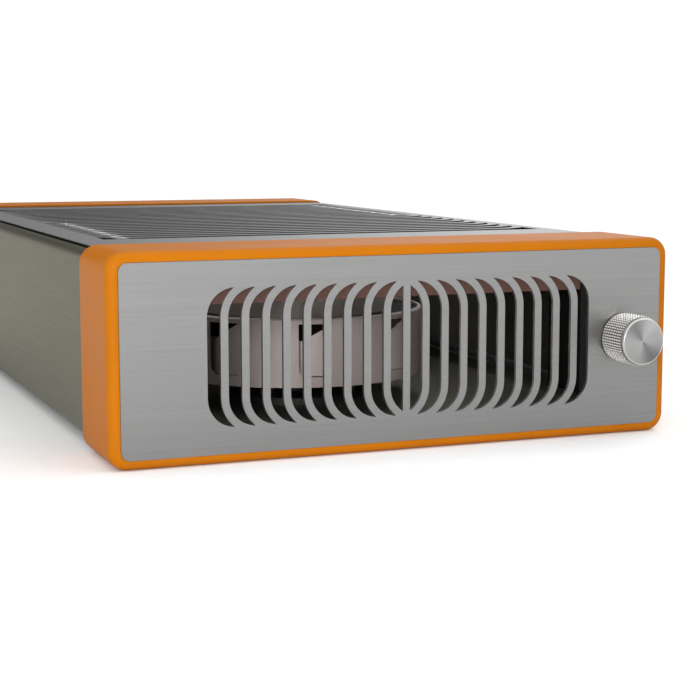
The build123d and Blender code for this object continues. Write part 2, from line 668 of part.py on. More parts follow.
def cell_holder(low, name):
    """Moulded plate with a round seat for each cell."""
    with BuildPart() as holder:
        with BuildSketch(level(low, y=BATTERY_Y)):
            Rectangle(PACK_WIDTH, PACK_DEPTH)
            with GridLocations(CELL_PITCH, CELL_PITCH, CELL_COLUMNS, CELL_ROWS):
                Circle(CELL_RADIUS + 0.15, mode=Mode.SUBTRACT)
        extrude(amount=HOLDER_HEIGHT)
    save(holder, name)


cell_holder(CELL_BOTTOM, "cell_holder_lower")
cell_holder(CELL_TOP - HOLDER_HEIGHT, "cell_holder_upper")

with BuildPart() as bus_bars:
    for bar_z in (CELL_BOTTOM - BUS_BAR, CELL_TOP):
        with BuildSketch(level(bar_z, y=BATTERY_Y)):
            with GridLocations(1, CELL_PITCH, 1, CELL_ROWS):
                Rectangle(PACK_WIDTH - 14, 8)
        extrude(amount=BUS_BAR)
save(bus_bars, "bus_bars")

with BuildPart() as insulation_pad:
    with BuildSketch(level(FLOOR_Z, y=BATTERY_Y)):
        RectangleRounded(PACK_WIDTH, PACK_DEPTH, 3)
    extrude(amount=CELL_BOTTOM - BUS_BAR - FLOOR_Z)
save(insulation_pad, "insulation_pad")

# ---- Battery management board, upright behind the cells ----
with BuildPart() as bms_board:
    with BuildSketch(across(BMS_Y, z=38)):
        Rectangle(180, 58)
    extrude(amount=-BOARD)
save(bms_board, "bms_board")

with BuildPart() as bms_components:
    with BuildSketch(across(BMS_Y + BOARD, z=38)):
        with GridLocations(16, 18, 8, 2):
            Rectangle(8, 10)
        with Locations((78, 0)):
            Rectangle(14, 14)
    extrude(amount=-3.0)
save(bms_components, "bms_components")

# ---- Inverter: board on standoffs, finned heat sinks, transistors, capacitors, transformer ----
INVERTER_DEPTH = 50.0
INVERTER_WIDTH = 196.0
BOARD_TOP = INVERTER_Z + BOARD
STANDOFF_GRID = (INVERTER_WIDTH - 10, INVERTER_DEPTH - 10, 2, 2)
with BuildPart() as inverter_board:
    with BuildSketch(level(INVERTER_Z, y=INVERTER_Y)):
        Rectangle(INVERTER_WIDTH, INVERTER_DEPTH)
    extrude(amount=BOARD)
save(inverter_board, "inverter_board")

with BuildPart() as board_standoffs:
    with BuildSketch(level(FLOOR_Z, y=INVERTER_Y)):
        with GridLocations(*STANDOFF_GRID):
            RegularPolygon(3, 6)
    extrude(amount=INVERTER_Z - FLOOR_Z)
save(board_standoffs, "board_standoffs")

SINK_XS = (-62.0, 62.0)
FINS = 7
with BuildPart() as heat_sinks:
    with BuildSketch(level(BOARD_TOP, y=INVERTER_Y - 12)):
        with Locations(*[(x, 0) for x in SINK_XS]):
            Rectangle(60, 4)
    extrude(amount=42)
    with BuildSketch(level(BOARD_TOP, y=INVERTER_Y - 4)):
        for sink_x in SINK_XS:
            with Locations((sink_x, 0)):
                with GridLocations(9.5, 1, FINS, 1):
                    Rectangle(1.6, 12.4)
    extrude(amount=42)
save(heat_sinks, "heat_sinks")

with BuildPart() as power_transistors:
    with BuildSketch(across(INVERTER_Y - 14.1, z=BOARD_TOP + 22)):
        for sink_x in SINK_XS:
            with Locations((sink_x, 0)):
                with GridLocations(18, 1, 3, 1):
                    Rectangle(10.5, 15)
    extrude(amount=4.6)
save(power_transistors, "power_transistors")

with BuildPart() as capacitors:
    with BuildSketch(level(BOARD_TOP, y=INVERTER_Y + 14)):
        with GridLocations(21, 1, 4, 1):
            Circle(9)
    extrude(amount=32)
    fillet(capacitors.faces().filter_by(Axis.Z).group_by(Axis.Z)[-1].edges(), 1)
save(capacitors, "capacitors")

with BuildPart() as inverter_transformer:
    with Locations(level(BOARD_TOP, y=INVERTER_Y - 9)):
        Box(36, 12, 34, align=(Align.CENTER, Align.CENTER, Align.MIN))
        Box(24, 24, 22, align=(Align.CENTER, Align.CENTER, Align.MIN))
save(inverter_transformer, "inverter_transformer")

# ---- Axial fan behind the rear vent ----
FAN_FRONT = REAR_PLATE_BACK - 0.1 - FAN_DEPTH
FAN_BORE = 23.0
FAN_HUB = 9.5
FAN_BLADES = 7
FAN_PITCH = math.radians(38)
FAN_TIP = 21.6
with BuildPart() as fan_frame:
    with BuildSketch(across(FAN_FRONT, x=FAN_X)):
        RectangleRounded(FAN_SIDE, FAN_SIDE, 3)
        Circle(FAN_BORE, mode=Mode.SUBTRACT)
        with GridLocations(FAN_SIDE - 9, FAN_SIDE - 9, 2, 2):
            Circle(1.5, mode=Mode.SUBTRACT)
    extrude(amount=-FAN_DEPTH)
    with BuildSketch(across(FAN_FRONT, x=FAN_X)):
        Circle(FAN_HUB)
        with PolarLocations(FAN_BORE / 2 + 2, 3, 90):
            Rectangle(FAN_BORE, 3.5)
    extrude(amount=-2.5)
save(fan_frame, "fan_frame")

with BuildPart() as fan_rotor:
    with BuildSketch(across(FAN_FRONT + 3.2, x=FAN_X)):
        Circle(FAN_HUB + 0.5)
    extrude(amount=-(FAN_DEPTH - 4.4))
    for number in range(FAN_BLADES):
        angle = number * 2 * math.pi / FAN_BLADES
        flat = math.cos(FAN_PITCH)
        spoke = Plane(
            origin=(FAN_X, FAN_FRONT + 11.0, MID_Z),
            x_dir=(math.cos(angle), 0, math.sin(angle)),
            z_dir=(-flat * math.sin(angle), math.sin(FAN_PITCH), flat * math.cos(angle)),
        )
        with BuildSketch(spoke):
            with Locations(((FAN_HUB + FAN_TIP) / 2 - 0.4, 0)):
                Rectangle(FAN_TIP - FAN_HUB + 0.8, 13)
        extrude(amount=0.6, both=True)
save(fan_rotor, "fan_rotor")

with BuildPart() as fan_screws:
    with BuildSketch(across(REAR_PLATE_FACE, x=FAN_X)):
        with GridLocations(FAN_SIDE - 9, FAN_SIDE - 9, 2, 2):
            Circle(2.8)
    extrude(amount=-1.8)
    with BuildSketch(across(REAR_PLATE_FACE, x=FAN_X)):
        with GridLocations(FAN_SIDE - 9, FAN_SIDE - 9, 2, 2):
            Circle(1.4)
    extrude(amount=PLATE_THICK + 8)
save(fan_screws, "fan_screws")

# ---- Mains outlets: moulded blocks with blade slots and an earth hole, and their contacts ----
OUTLET_DEPTH = 24.0
with BuildPart() as ac_outlets:
    with BuildSketch(across(REAR_PLATE_BACK - OUTLET_DEPTH)):
        with Locations(*[(x, 0) for x in OUTLET_XS]):
            RectangleRounded(OUTLET_WIDTH, OUTLET_HEIGHT, 2)
    extrude(amount=-(OUTLET_DEPTH + PLATE_THICK))
    with BuildSketch(across(REAR_PLATE_FACE)):
        with Locations(*[(x, 0) for x in OUTLET_XS]):
            RectangleRounded(29.0, 38.0, 3)
    extrude(amount=-1.6)
    with BuildSketch(across(REAR_PLATE_FACE + 1.6)):
        for outlet_x in OUTLET_XS:
            with Locations((outlet_x - 6.35, 4), (outlet_x + 6.35, 4)):
                Rectangle(2.0, 8.0)
            with Locations((outlet_x, -8)):
                Circle(2.6)
    extrude(amount=18, mode=Mode.SUBTRACT)
save(ac_outlets, "ac_outlets")

with BuildPart() as outlet_contacts:
    with BuildSketch(across(REAR_PLATE_FACE - 8.2)):
        for outlet_x in OUTLET_XS:
            with Locations((outlet_x - 6.9, 4), (outlet_x + 6.9, 4)):
                Rectangle(0.5, 6.0)
    extrude(amount=8)
save(outlet_contacts, "outlet_contacts")

# ---- USB sockets with their tongues ----
with BuildPart() as usb_sockets:
    with BuildSketch(across(REAR_PLATE_FACE)):
        with Locations(*USB_PLACES):
            RectangleRounded(USB_WIDTH, USB_HEIGHT, 0.8)
    extrude(amount=16)
    with BuildSketch(across(REAR_PLATE_FACE)):
        with Locations(*USB_PLACES):
            Rectangle(USB_WIDTH - 1.2, USB_HEIGHT - 1.2)
    extrude(amount=13, mode=Mode.SUBTRACT)
save(usb_sockets, "usb_sockets")

with BuildPart() as usb_tongues:
    with BuildSketch(across(REAR_PLATE_FACE - 1.0)):
        with Locations(*[(x, lift + 1.2) for x, lift in USB_PLACES]):
            Rectangle(11.0, 1.8)
    extrude(amount=12.0)
save(usb_tongues, "usb_tongues")

# ---- Charging inlet: round socket with a centre pin ----
with BuildPart() as charge_inlet:
    with BuildSketch(across(REAR_PLATE_BACK - 14, z=INLET_Z, x=SWITCH_X)):
        Circle(6.0)
    extrude(amount=-(14 + PLATE_THICK))
    with BuildSketch(across(REAR_PLATE_FACE, z=INLET_Z, x=SWITCH_X)):
        Circle(7.5)
    extrude(amount=-2.0)
    with BuildSketch(across(REAR_PLATE_FACE + 2.0, z=INLET_Z, x=SWITCH_X)):
        Circle(4.0)
    extrude(amount=13, mode=Mode.SUBTRACT)
save(charge_inlet, "charge_inlet")

with BuildPart() as inlet_pin:
    with BuildSketch(across(REAR_PLATE_FACE - 11, z=INLET_Z, x=SWITCH_X)):
        Circle(0.8)
    extrude(amount=-10)
save(inlet_pin, "inlet_pin")

# ---- Rocker switch: frame and a paddle on trunnions, resting tilted to its off side ----
ROCKER_FACE = REAR_PLATE_FACE + 1.5
PIVOT_Y = ROCKER_FACE - 2.0
with BuildPart() as rocker_frame:
    with BuildSketch(across(REAR_PLATE_FACE, z=SWITCH_Z, x=SWITCH_X)):
        RectangleRounded(16, 22.4, 1.5)
    extrude(amount=-1.5)
    with BuildSketch(across(REAR_PLATE_FACE, z=SWITCH_Z, x=SWITCH_X)):
        Rectangle(13.2, 19.6)
    extrude(amount=14)
    with BuildSketch(across(ROCKER_FACE, z=SWITCH_Z, x=SWITCH_X)):
        Rectangle(9.6, 18.2)
    extrude(amount=11, mode=Mode.SUBTRACT)
    with BuildSketch(Plane(origin=(SWITCH_X, PIVOT_Y, SWITCH_Z), x_dir=(0, 1, 0), z_dir=(1, 0, 0))):
        Circle(1.2 + RUNNING_GAP)
    extrude(amount=6.2, both=True, mode=Mode.SUBTRACT)
save(rocker_frame, "rocker_frame")

tilt = math.radians(ROCKER_TILT)
pivot = (SWITCH_X, PIVOT_Y, SWITCH_Z)
with BuildPart() as rocker:
    with BuildSketch(Plane(origin=pivot, x_dir=(0, math.cos(tilt), math.sin(tilt)), z_dir=(1, 0, 0))):
        with BuildLine():
            Polyline((-2, -8.6), (2, -8.6), (3.4, 0), (2, 8.6), (-2, 8.6), close=True)
        make_face()
    extrude(amount=4.5, both=True)
    with BuildSketch(Plane(origin=pivot, x_dir=(0, 1, 0), z_dir=(1, 0, 0))):
        Circle(1.2)
    extrude(amount=6.0, both=True)
save(rocker, "rocker")
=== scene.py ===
"""Looks of the power station: its materials, the knurled knob, fine edges, lights and camera."""

import json
import math

import bpy
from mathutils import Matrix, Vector


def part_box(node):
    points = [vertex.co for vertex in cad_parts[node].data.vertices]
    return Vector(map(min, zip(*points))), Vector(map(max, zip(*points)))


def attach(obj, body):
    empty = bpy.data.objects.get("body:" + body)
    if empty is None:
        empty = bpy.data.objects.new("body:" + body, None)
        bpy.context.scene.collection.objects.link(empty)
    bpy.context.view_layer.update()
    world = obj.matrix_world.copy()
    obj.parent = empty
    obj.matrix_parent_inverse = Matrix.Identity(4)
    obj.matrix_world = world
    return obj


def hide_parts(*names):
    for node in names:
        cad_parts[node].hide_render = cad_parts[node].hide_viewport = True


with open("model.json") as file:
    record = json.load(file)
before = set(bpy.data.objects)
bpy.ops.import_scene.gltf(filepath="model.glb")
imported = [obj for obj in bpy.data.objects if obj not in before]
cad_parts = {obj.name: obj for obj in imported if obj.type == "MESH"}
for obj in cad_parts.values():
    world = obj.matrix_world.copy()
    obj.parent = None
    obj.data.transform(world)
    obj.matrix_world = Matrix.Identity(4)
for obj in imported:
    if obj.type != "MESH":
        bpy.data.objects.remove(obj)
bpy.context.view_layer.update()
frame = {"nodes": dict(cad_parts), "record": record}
nodes = frame["nodes"]

MM = 0.001

# Sizes of the knob that its materials and its mesh share.
KNOB_DISH = 9.0 * MM
KNURL_DEPTH = 0.8 * MM

# Painted light on the case's inner faces: full on the walls behind the second line, a small share (painted
# shade) in front of the first, half on the floor.
PAINTED_SHADE_END = -75.0 * MM
PAINTED_LIGHT_START = -15.0 * MM
SHADED_WALL_LIGHT_SHARE = 0.12
FLOOR_LIGHT_SHARE = 0.5

# ---- Materials -------------------------------------------------------------------------------


class Surface:
    """A new material on a Principled shader, with short ways to wire up procedural nodes."""

    def __init__(self, name, roughness=0.5, metallic=0.0, **sockets):
        self.material = bpy.data.materials.new(name)
        self.material.use_nodes = True
        self.tree = self.material.node_tree
        self.shader = self.tree.nodes["Principled BSDF"]
        self.shader.inputs["Roughness"].default_value = roughness
        self.shader.inputs["Metallic"].default_value = metallic
        for socket, value in sockets.items():
            self.shader.inputs[socket.replace("_", " ")].default_value = value
        self.place = self.node("ShaderNodeTexCoord").outputs["Object"]

    def node(self, kind, **settings):
        made = self.tree.nodes.new(kind)
        for key, value in settings.items():
            setattr(made, key, value)
        return made

    def link(self, source, target):
        self.tree.links.new(source, target)

    def stretched(self, frequency):
        """Object coordinates times a frequency per axis, in cycles per metre."""
        mapping = self.node("ShaderNodeMapping")
        mapping.inputs["Scale"].default_value = frequency
        self.link(self.place, mapping.inputs["Vector"])
        return mapping.outputs["Vector"]

    def noise(self, frequency, detail=3.0, roughness=0.6):
        """Noise from 0 to 1 whose grain is stretched by a frequency per axis."""
        made = self.node("ShaderNodeTexNoise")
        made.inputs["Scale"].default_value = 1.0
        made.inputs["Detail"].default_value = detail
        made.inputs["Roughness"].default_value = roughness
        self.link(self.stretched(frequency), made.inputs["Vector"])
        return made.outputs["Fac"]

    def ramp(self, factor, low, high, start=0.3, stop=0.7):
        """Colours between two values as the factor goes from start to stop."""
        made = self.node("ShaderNodeValToRGB")
        made.color_ramp.elements[0].position = start
        made.color_ramp.elements[1].position = stop
        made.color_ramp.elements[0].color = (*low, 1)
        made.color_ramp.elements[1].color = (*high, 1)
        self.link(factor, made.inputs["Fac"])
        return made.outputs["Color"]

    def blend(self, factor, first, second, mode="MIX"):
        """Two colours mixed by a factor, which may be a number or a socket."""
        made = self.node("ShaderNodeMix", data_type="RGBA", blend_type=mode)
        if isinstance(factor, (int, float)):
            made.inputs[0].default_value = factor
        else:
            self.link(factor, made.inputs[0])
        self.link(first, made.inputs[6])
        self.link(second, made.inputs[7])
        return made.outputs[2]

    def maths(self, operation, first, second=0.0):
        """One maths step on two sockets or numbers."""
        made = self.node("ShaderNodeMath", operation=operation)
        for socket, value in zip(made.inputs, (first, second)):
            if isinstance(value, (int, float)):
                socket.default_value = value
            else:
                self.link(value, socket)
        return made.outputs["Value"]

    def painted_inner_light(self, factor):
        """Painted light on the case's inner faces, with painted shade on the walls near the front, and a
        factor of one outside.
        """
        low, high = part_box("case_tray")
        middle = (low.z + high.z) / 2
        bend = 6.0 * MM
        sheet = 1.0 * MM
        parts = self.node("ShaderNodeSeparateXYZ")
        self.link(self.place, parts.inputs[0])
        across = self.maths("ABSOLUTE", parts.outputs["X"])
        lift = self.maths("ABSOLUTE", self.maths("SUBTRACT", parts.outputs["Z"], middle))
        wall = self.maths(
            "MULTIPLY",
            self.maths("LESS_THAN", across, high.x - sheet),
            self.maths("LESS_THAN", lift, high.z - middle - bend),
        )
        floor = self.maths(
            "MULTIPLY",
            self.maths("LESS_THAN", across, high.x - bend),
            self.maths("LESS_THAN", lift, high.z - middle - sheet),
        )
        # Painted shade: the painted light drops to a small share on the walls near the front.
        front_shade = self.node("ShaderNodeMapRange")
        front_shade.inputs["From Min"].default_value = PAINTED_SHADE_END
        front_shade.inputs["From Max"].default_value = PAINTED_LIGHT_START
        front_shade.inputs["To Min"].default_value = SHADED_WALL_LIGHT_SHARE
        self.link(parts.outputs["Y"], front_shade.inputs["Value"])
        wall = self.maths("MULTIPLY", wall, front_shade.outputs["Result"])
        painted_light_share = self.maths("MAXIMUM", wall, self.maths("MULTIPLY", floor, FLOOR_LIGHT_SHARE))
        return self.ramp(painted_light_share, (1, 1, 1), (factor, factor * 0.96, factor * 1.05), 0.0, 1.0)

    def painted_slot_light(self, face, back, axis, factor):
        """A factor on what lies behind a sheet's outer face, such as the sides of its slots: painted
        highlight above one, painted shade below one.
        """
        parts = self.node("ShaderNodeSeparateXYZ")
        self.link(self.place, parts.inputs[0])
        depth = self.maths("ABSOLUTE", self.maths("SUBTRACT", parts.outputs[axis], back))
        behind = self.maths("LESS_THAN", depth, abs(face - back) - 0.3 * MM)
        return self.ramp(behind, (1, 1, 1), (factor,) * 3, 0.2, 0.8)

    def colour(self, source):
        self.link(source, self.shader.inputs["Base Color"])

    def gloss(self, factor, low, high):
        """Roughness between two values."""
        made = self.node("ShaderNodeMapRange")
        made.inputs["From Min"].default_value = 0.3
        made.inputs["From Max"].default_value = 0.7
        made.inputs["To Min"].default_value = low
        made.inputs["To Max"].default_value = high
        self.link(factor, made.inputs["Value"])
        self.link(made.outputs["Result"], self.shader.inputs["Roughness"])

    def bump(self, height, strength, distance):
        made = self.node("ShaderNodeBump")
        made.inputs["Strength"].default_value = strength
        made.inputs["Distance"].default_value = distance
        self.link(height, made.inputs["Height"])
        self.link(made.outputs["Normal"], self.shader.inputs["Normal"])


def shade(colour, factor):
    return tuple(min(1.0, channel * factor) for channel in colour)


def brushed(
    name, colour, along, rough=0.36, contrast=0.12, bump=0.25, height_shade=None, inner_light=None, slot_light=None, edge=(1, 1, 1)
):
    """Brushed sheet: long fine scratches along one axis, over a slow drift in tone.

    height_shade: painted shade, factors at the bottom and the top of the box's height.
    inner_light: painted light, how much lighter the case's inner side is drawn than its outer side.
    slot_light: outer face, back, axis and factor for the sides of the slots; above one paints a highlight,
    below one paints shade.
    edge: tint of the gleam when the sheet is seen edge on.
    """
    surface = Surface(name, roughness=rough, metallic=1.0, Specular_Tint=(*edge, 1))
    fine = [2600.0, 2600.0, 2600.0]
    fine["xyz".index(along)] = 22.0
    coarse = [1100.0, 1100.0, 1100.0]
    coarse["xyz".index(along)] = 9.0
    scratches = surface.noise(fine, detail=2.0, roughness=0.7)
    bands = surface.noise(coarse, detail=3.0)
    drift = surface.noise((9.0, 9.0, 9.0), detail=2.0)
    tone = surface.ramp(scratches, shade(colour, 1 - contrast), shade(colour, 1 + contrast))
    band_tone = surface.ramp(bands, shade(colour, 1 - contrast), shade(colour, 1 + contrast))
    drift_tone = surface.ramp(drift, shade(colour, 0.96), shade(colour, 1.03))
    tone = surface.blend(0.35, surface.blend(0.5, tone, band_tone), drift_tone)
    # Painted shade: darker towards the bottom of the box, lighter towards the top.
    if height_shade:
        height = surface.node("ShaderNodeSeparateXYZ")
        surface.link(surface.stretched((12.0, 12.0, 12.0)), height.inputs[0])
        shading = surface.ramp(height.outputs["Z"], (height_shade[0],) * 3, (height_shade[1],) * 3, 0.1, 0.9)
        tone = surface.blend(1.0, tone, shading, "MULTIPLY")
    # Painted light on the case's inner faces, with painted shade on the walls near the front.
    if inner_light:
        tone = surface.blend(1.0, tone, surface.painted_inner_light(inner_light), "MULTIPLY")
    # Painted highlight or painted shade on the sides of the slots, by the factor: lighter above one, darker
    # below.
    if slot_light:
        tone = surface.blend(1.0, tone, surface.painted_slot_light(*slot_light), "MULTIPLY")
    surface.colour(tone)
    surface.gloss(scratches, rough - 0.04, rough + 0.04)
    surface.bump(scratches, bump, 0.02 * MM)
    return surface.material


def moulded(name, colour, rough=0.5, grain=1400.0, bump=0.12, contrast=0.05, **sockets):
    """Moulded plastic: a fine spark-eroded texture, with a faint unevenness in tone and gloss."""
    surface = Surface(name, roughness=rough, **sockets)
    texture = surface.noise((grain, grain, grain), detail=2.0)
    clouds = surface.noise((28.0, 28.0, 28.0), detail=4.0)
    surface.colour(surface.ramp(clouds, shade(colour, 1 - contrast), shade(colour, 1 + contrast)))
    surface.gloss(clouds, rough - 0.04, rough + 0.05)
    surface.bump(texture, bump, 0.05 * MM)
    return surface.material


def rolled(name, colour, rough=0.32, contrast=0.08, metallic=1.0):
    """Bare rolled or machined metal: cloudy tone, light handling marks and fine pitting."""
    surface = Surface(name, roughness=rough, metallic=metallic)
    clouds = surface.noise((40.0, 40.0, 40.0), detail=5.0)
    pits = surface.noise((2200.0, 2200.0, 2200.0), detail=2.0)
    tone = surface.ramp(clouds, shade(colour, 1 - contrast), shade(colour, 1 + contrast))
    surface.colour(tone)
    surface.gloss(clouds, rough - 0.06, rough + 0.08)
    surface.bump(pits, 0.1, 0.02 * MM)
    return surface.material


def circuit_board(name):
    """Green solder mask with faint copper tracks in two directions."""
    surface = Surface(name, roughness=0.32, Specular_IOR_Level=0.5)
    tracks = surface.node("ShaderNodeTexBrick")
    tracks.inputs["Scale"].default_value = 1.0
    tracks.inputs["Mortar Size"].default_value = 0.035
    tracks.inputs["Color1"].default_value = (0.012, 0.10, 0.045, 1)
    tracks.inputs["Color2"].default_value = (0.016, 0.12, 0.055, 1)
    tracks.inputs["Mortar"].default_value = (0.04, 0.20, 0.09, 1)
    surface.link(surface.stretched((160.0, 240.0, 240.0)), tracks.inputs["Vector"])
    surface.colour(tracks.outputs["Color"])
    surface.bump(tracks.outputs["Fac"], 0.2, 0.05 * MM)
    return surface.material


def windings(name):
    """Enamelled copper wire: close turns across the coil."""
    surface = Surface(name, roughness=0.3, metallic=1.0)
    turns = surface.node("ShaderNodeTexWave", wave_type="BANDS", bands_direction="Z")
    turns.inputs["Scale"].default_value = 320.0
    turns.inputs["Distortion"].default_value = 0.6
    surface.link(surface.place, turns.inputs["Vector"])
    surface.colour(surface.ramp(turns.outputs["Fac"], (0.30, 0.10, 0.04), (0.72, 0.32, 0.14), 0.1, 0.9))
    surface.bump(turns.outputs["Fac"], 0.6, 0.2 * MM)
    return surface.material


def laminations(name):
    """Stacked electrical sheet: thin dark lines between layers."""
    surface = Surface(name, roughness=0.45, metallic=1.0)
    layers = surface.node("ShaderNodeTexWave", wave_type="BANDS", bands_direction="Z")
    layers.inputs["Scale"].default_value = 300.0
    surface.link(surface.place, layers.inputs["Vector"])
    surface.colour(surface.ramp(layers.outputs["Fac"], (0.06, 0.06, 0.065), (0.3, 0.3, 0.31), 0.1, 0.6))
    surface.bump(layers.outputs["Fac"], 0.4, 0.1 * MM)
    return surface.material


def from_knob_axis(surface):
    """Sockets for the place across the knob, its height and its distance from the knob's axis."""
    moved = surface.node("ShaderNodeVectorMath", operation="SUBTRACT")
    surface.link(surface.place, moved.inputs[0])
    moved.inputs[1].default_value = knob_centre()
    parts = surface.node("ShaderNodeSeparateXYZ")
    surface.link(moved.outputs["Vector"], parts.inputs[0])
    side, lift = parts.outputs["X"], parts.outputs["Z"]
    squares = surface.maths(
        "ADD", surface.maths("MULTIPLY", side, side), surface.maths("MULTIPLY", lift, lift)
    )
    return side, lift, surface.maths("SQRT", squares)


def knurled_side(name):
    """Knurled aluminium: painted highlight on the tips and painted shade in the hollows between them."""
    surface = Surface(name, roughness=0.36, metallic=1.0)
    low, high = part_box("knob")
    radius = (high.x - low.x) / 2
    _, _, distance = from_knob_axis(surface)
    height = surface.node("ShaderNodeMapRange")
    height.inputs["From Min"].default_value = radius - KNURL_DEPTH
    height.inputs["From Max"].default_value = radius
    surface.link(distance, height.inputs["Value"])
    # Painted shade in the hollows, painted highlight on the tips, by distance from the knob's axis.
    groove_shade = (0.10, 0.092, 0.085)
    point_highlight = (0.82, 0.81, 0.79)
    surface.colour(surface.ramp(height.outputs["Result"], groove_shade, point_highlight, 0.05, 0.75))
    return surface.material


def turned_face(name):
    """Turned aluminium: fine rings from the lathe, with painted reflection in light and dark wedges round
    the face.
    """
    surface = Surface(name, roughness=0.3, metallic=1.0, Anisotropic=0.7)
    side, lift, distance = from_knob_axis(surface)
    rings = surface.node("ShaderNodeTexNoise", noise_dimensions="1D")
    rings.inputs["Scale"].default_value = 2600.0
    rings.inputs["Detail"].default_value = 2.0
    surface.link(distance, rings.inputs["W"])
    angle = surface.maths("ARCTAN2", lift, side)

    def highlight_sectors(count, turned, share):
        """Painted highlight wedges, evenly spaced round the face."""
        wave = surface.maths("MULTIPLY", surface.maths("SUBTRACT", angle, turned), count)
        return surface.maths("MULTIPLY", surface.maths("COSINE", wave), share)

    # Painted reflection: light and dark wedges, as an anisotropic highlight would fall on the turned face.
    painted_fan = surface.maths("ADD", highlight_sectors(2.0, 0.62, 0.36), highlight_sectors(4.0, 1.35, 0.14))
    painted_fan = surface.maths("ADD", painted_fan, 0.5)
    face = surface.ramp(painted_fan, (0.24, 0.24, 0.242), (0.52, 0.52, 0.515), 0.0, 1.0)
    fine = surface.ramp(rings.outputs["Fac"], (0.86, 0.86, 0.86), (1, 1, 1))
    surface.colour(surface.blend(1.0, face, fine, "MULTIPLY"))
    surface.bump(rings.outputs["Fac"], 0.15, 0.02 * MM)
    tangent = surface.node("ShaderNodeTangent", direction_type="RADIAL", axis="Y")
    surface.link(tangent.outputs["Tangent"], surface.shader.inputs["Tangent"])
    return surface.material


def floor_surface(name):
    """Plain pale paper sweep with a very faint tooth."""
    surface = Surface(name, roughness=0.9, Specular_IOR_Level=0.1)
    tooth = surface.noise((60.0, 60.0, 60.0), detail=3.0)
    surface.colour(surface.ramp(tooth, (0.90, 0.90, 0.90), (0.93, 0.93, 0.93)))
    return surface.material


def knob_centre():
    low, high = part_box("knob")
    return Vector(((low.x + high.x) / 2, low.y, (low.z + high.z) / 2))


def slot_light_setup(name, axis, outward, factor):
    """The outer face, the back, the axis and a factor for the slot sides of a slotted sheet, which paints
    highlight above one and shade below one.
    """
    low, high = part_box(name)
    near, far = getattr(low, axis.lower()), getattr(high, axis.lower())
    return (far, near, axis, factor) if outward > 0 else (near, far, axis, factor)


PLATE_GREY = (0.30, 0.299, 0.297)
CASE_GREY = (0.105, 0.104, 0.088)
COVER_GREY = (0.20, 0.204, 0.208)
ORANGE = (0.405, 0.123, 0.003)

materials = {
    "plate_metal": brushed(
        "brushed_plate",
        PLATE_GREY,
        "x",
        rough=0.4,
        # Painted shade low on the plate and painted light high on it.
        height_shade=(0.86, 1.14),
        # Painted highlight on the plate's slot sides.
        slot_light=slot_light_setup("front_plate", "Y", -1, 2.0),
    ),
    # The case's inner faces get painted light, with painted shade on the walls near the front.
    "case_metal": brushed(
        "brushed_case", CASE_GREY, "y", rough=0.45, contrast=0.09, inner_light=3.8, edge=(1, 0.99, 0.87)
    ),
    "cover_metal": brushed(
        "brushed_cover",
        COVER_GREY,
        "x",
        rough=0.3,
        # Painted shade on the cover's slot sides.
        slot_light=slot_light_setup("top_cover", "Z", 1, 0.15),
        edge=(0.86, 0.86, 0.86),
    ),
    "orange": moulded("orange_bumper", ORANGE, rough=0.42, Specular_IOR_Level=0.045),
    "subframe_paint": moulded("subframe_primer", (0.062, 0.029, 0.022), rough=0.5, Specular_IOR_Level=0.2),
    "knob_metal": turned_face("turned_aluminium"),
    "knob_side": rolled("plain_aluminium", (0.50, 0.49, 0.47), rough=0.34, contrast=0.04),
    "knob_knurl": knurled_side("knurled_aluminium"),
    "wheel_sheet": rolled("bare_sheet", (0.48, 0.41, 0.39), rough=0.5, metallic=0.2),
    "can_metal": rolled("satin_can", (0.40, 0.36, 0.32), rough=0.5, metallic=0.2),
    "inner_sheet": moulded("dark_paint", (0.06, 0.056, 0.048), rough=0.5),
    "cast_metal": rolled("cast_aluminium", (0.05, 0.047, 0.045), rough=0.6, contrast=0.15),
    "steel": rolled("zinc_plate", (0.55, 0.54, 0.50), rough=0.28),
    "black_steel": rolled("black_oxide", (0.03, 0.03, 0.03), rough=0.45, metallic=0.6),
    "lamination": laminations("laminations"),
    "copper": windings("enamelled_copper"),
    "magnet": rolled("magnet_coat", (0.05, 0.05, 0.055), rough=0.4),
    "cell_wrap": moulded("cell_sleeve", (0.03, 0.13, 0.22), rough=0.28, grain=300.0),
    "nickel": brushed("nickel_strip", (0.60, 0.57, 0.52), "x", rough=0.3),
    "fish_paper": moulded("insulating_card", (0.20, 0.24, 0.17), rough=0.8, grain=900.0, bump=0.3),
    "board": circuit_board("circuit_board"),
    "component": moulded("moulded_component", (0.012, 0.012, 0.013), rough=0.42),
    "sink_metal": brushed("extruded_sink", (0.42, 0.42, 0.43), "z", rough=0.4),
    "capacitor_wrap": moulded("capacitor_sleeve", (0.012, 0.016, 0.04), rough=0.25, grain=250.0),
    "dark_plastic": moulded(
        "dark_plastic", (0.005, 0.0043, 0.004), rough=0.6, Specular_IOR_Level=0.1
    ),
    "white_plastic": moulded("white_plastic", (0.70, 0.70, 0.67), rough=0.45),
    "socket_plastic": moulded("socket_plastic", (0.022, 0.022, 0.023), rough=0.3, bump=0.05),
    "rocker_plastic": moulded("rocker_plastic", (0.50, 0.035, 0.02), rough=0.3, bump=0.05),
    "brass": rolled("brass", (0.72, 0.52, 0.24), rough=0.3),
}


def dress_nodes():
    """Give every CAD node the finished material of its slot in the record."""
    for part in frame["record"]["subparts"]:
        mesh = nodes[part["node"]].data
        mesh.materials.clear()
        mesh.materials.append(materials[part["material_slot"]])


# ---- Edges -----------------------------------------------------------------------------------

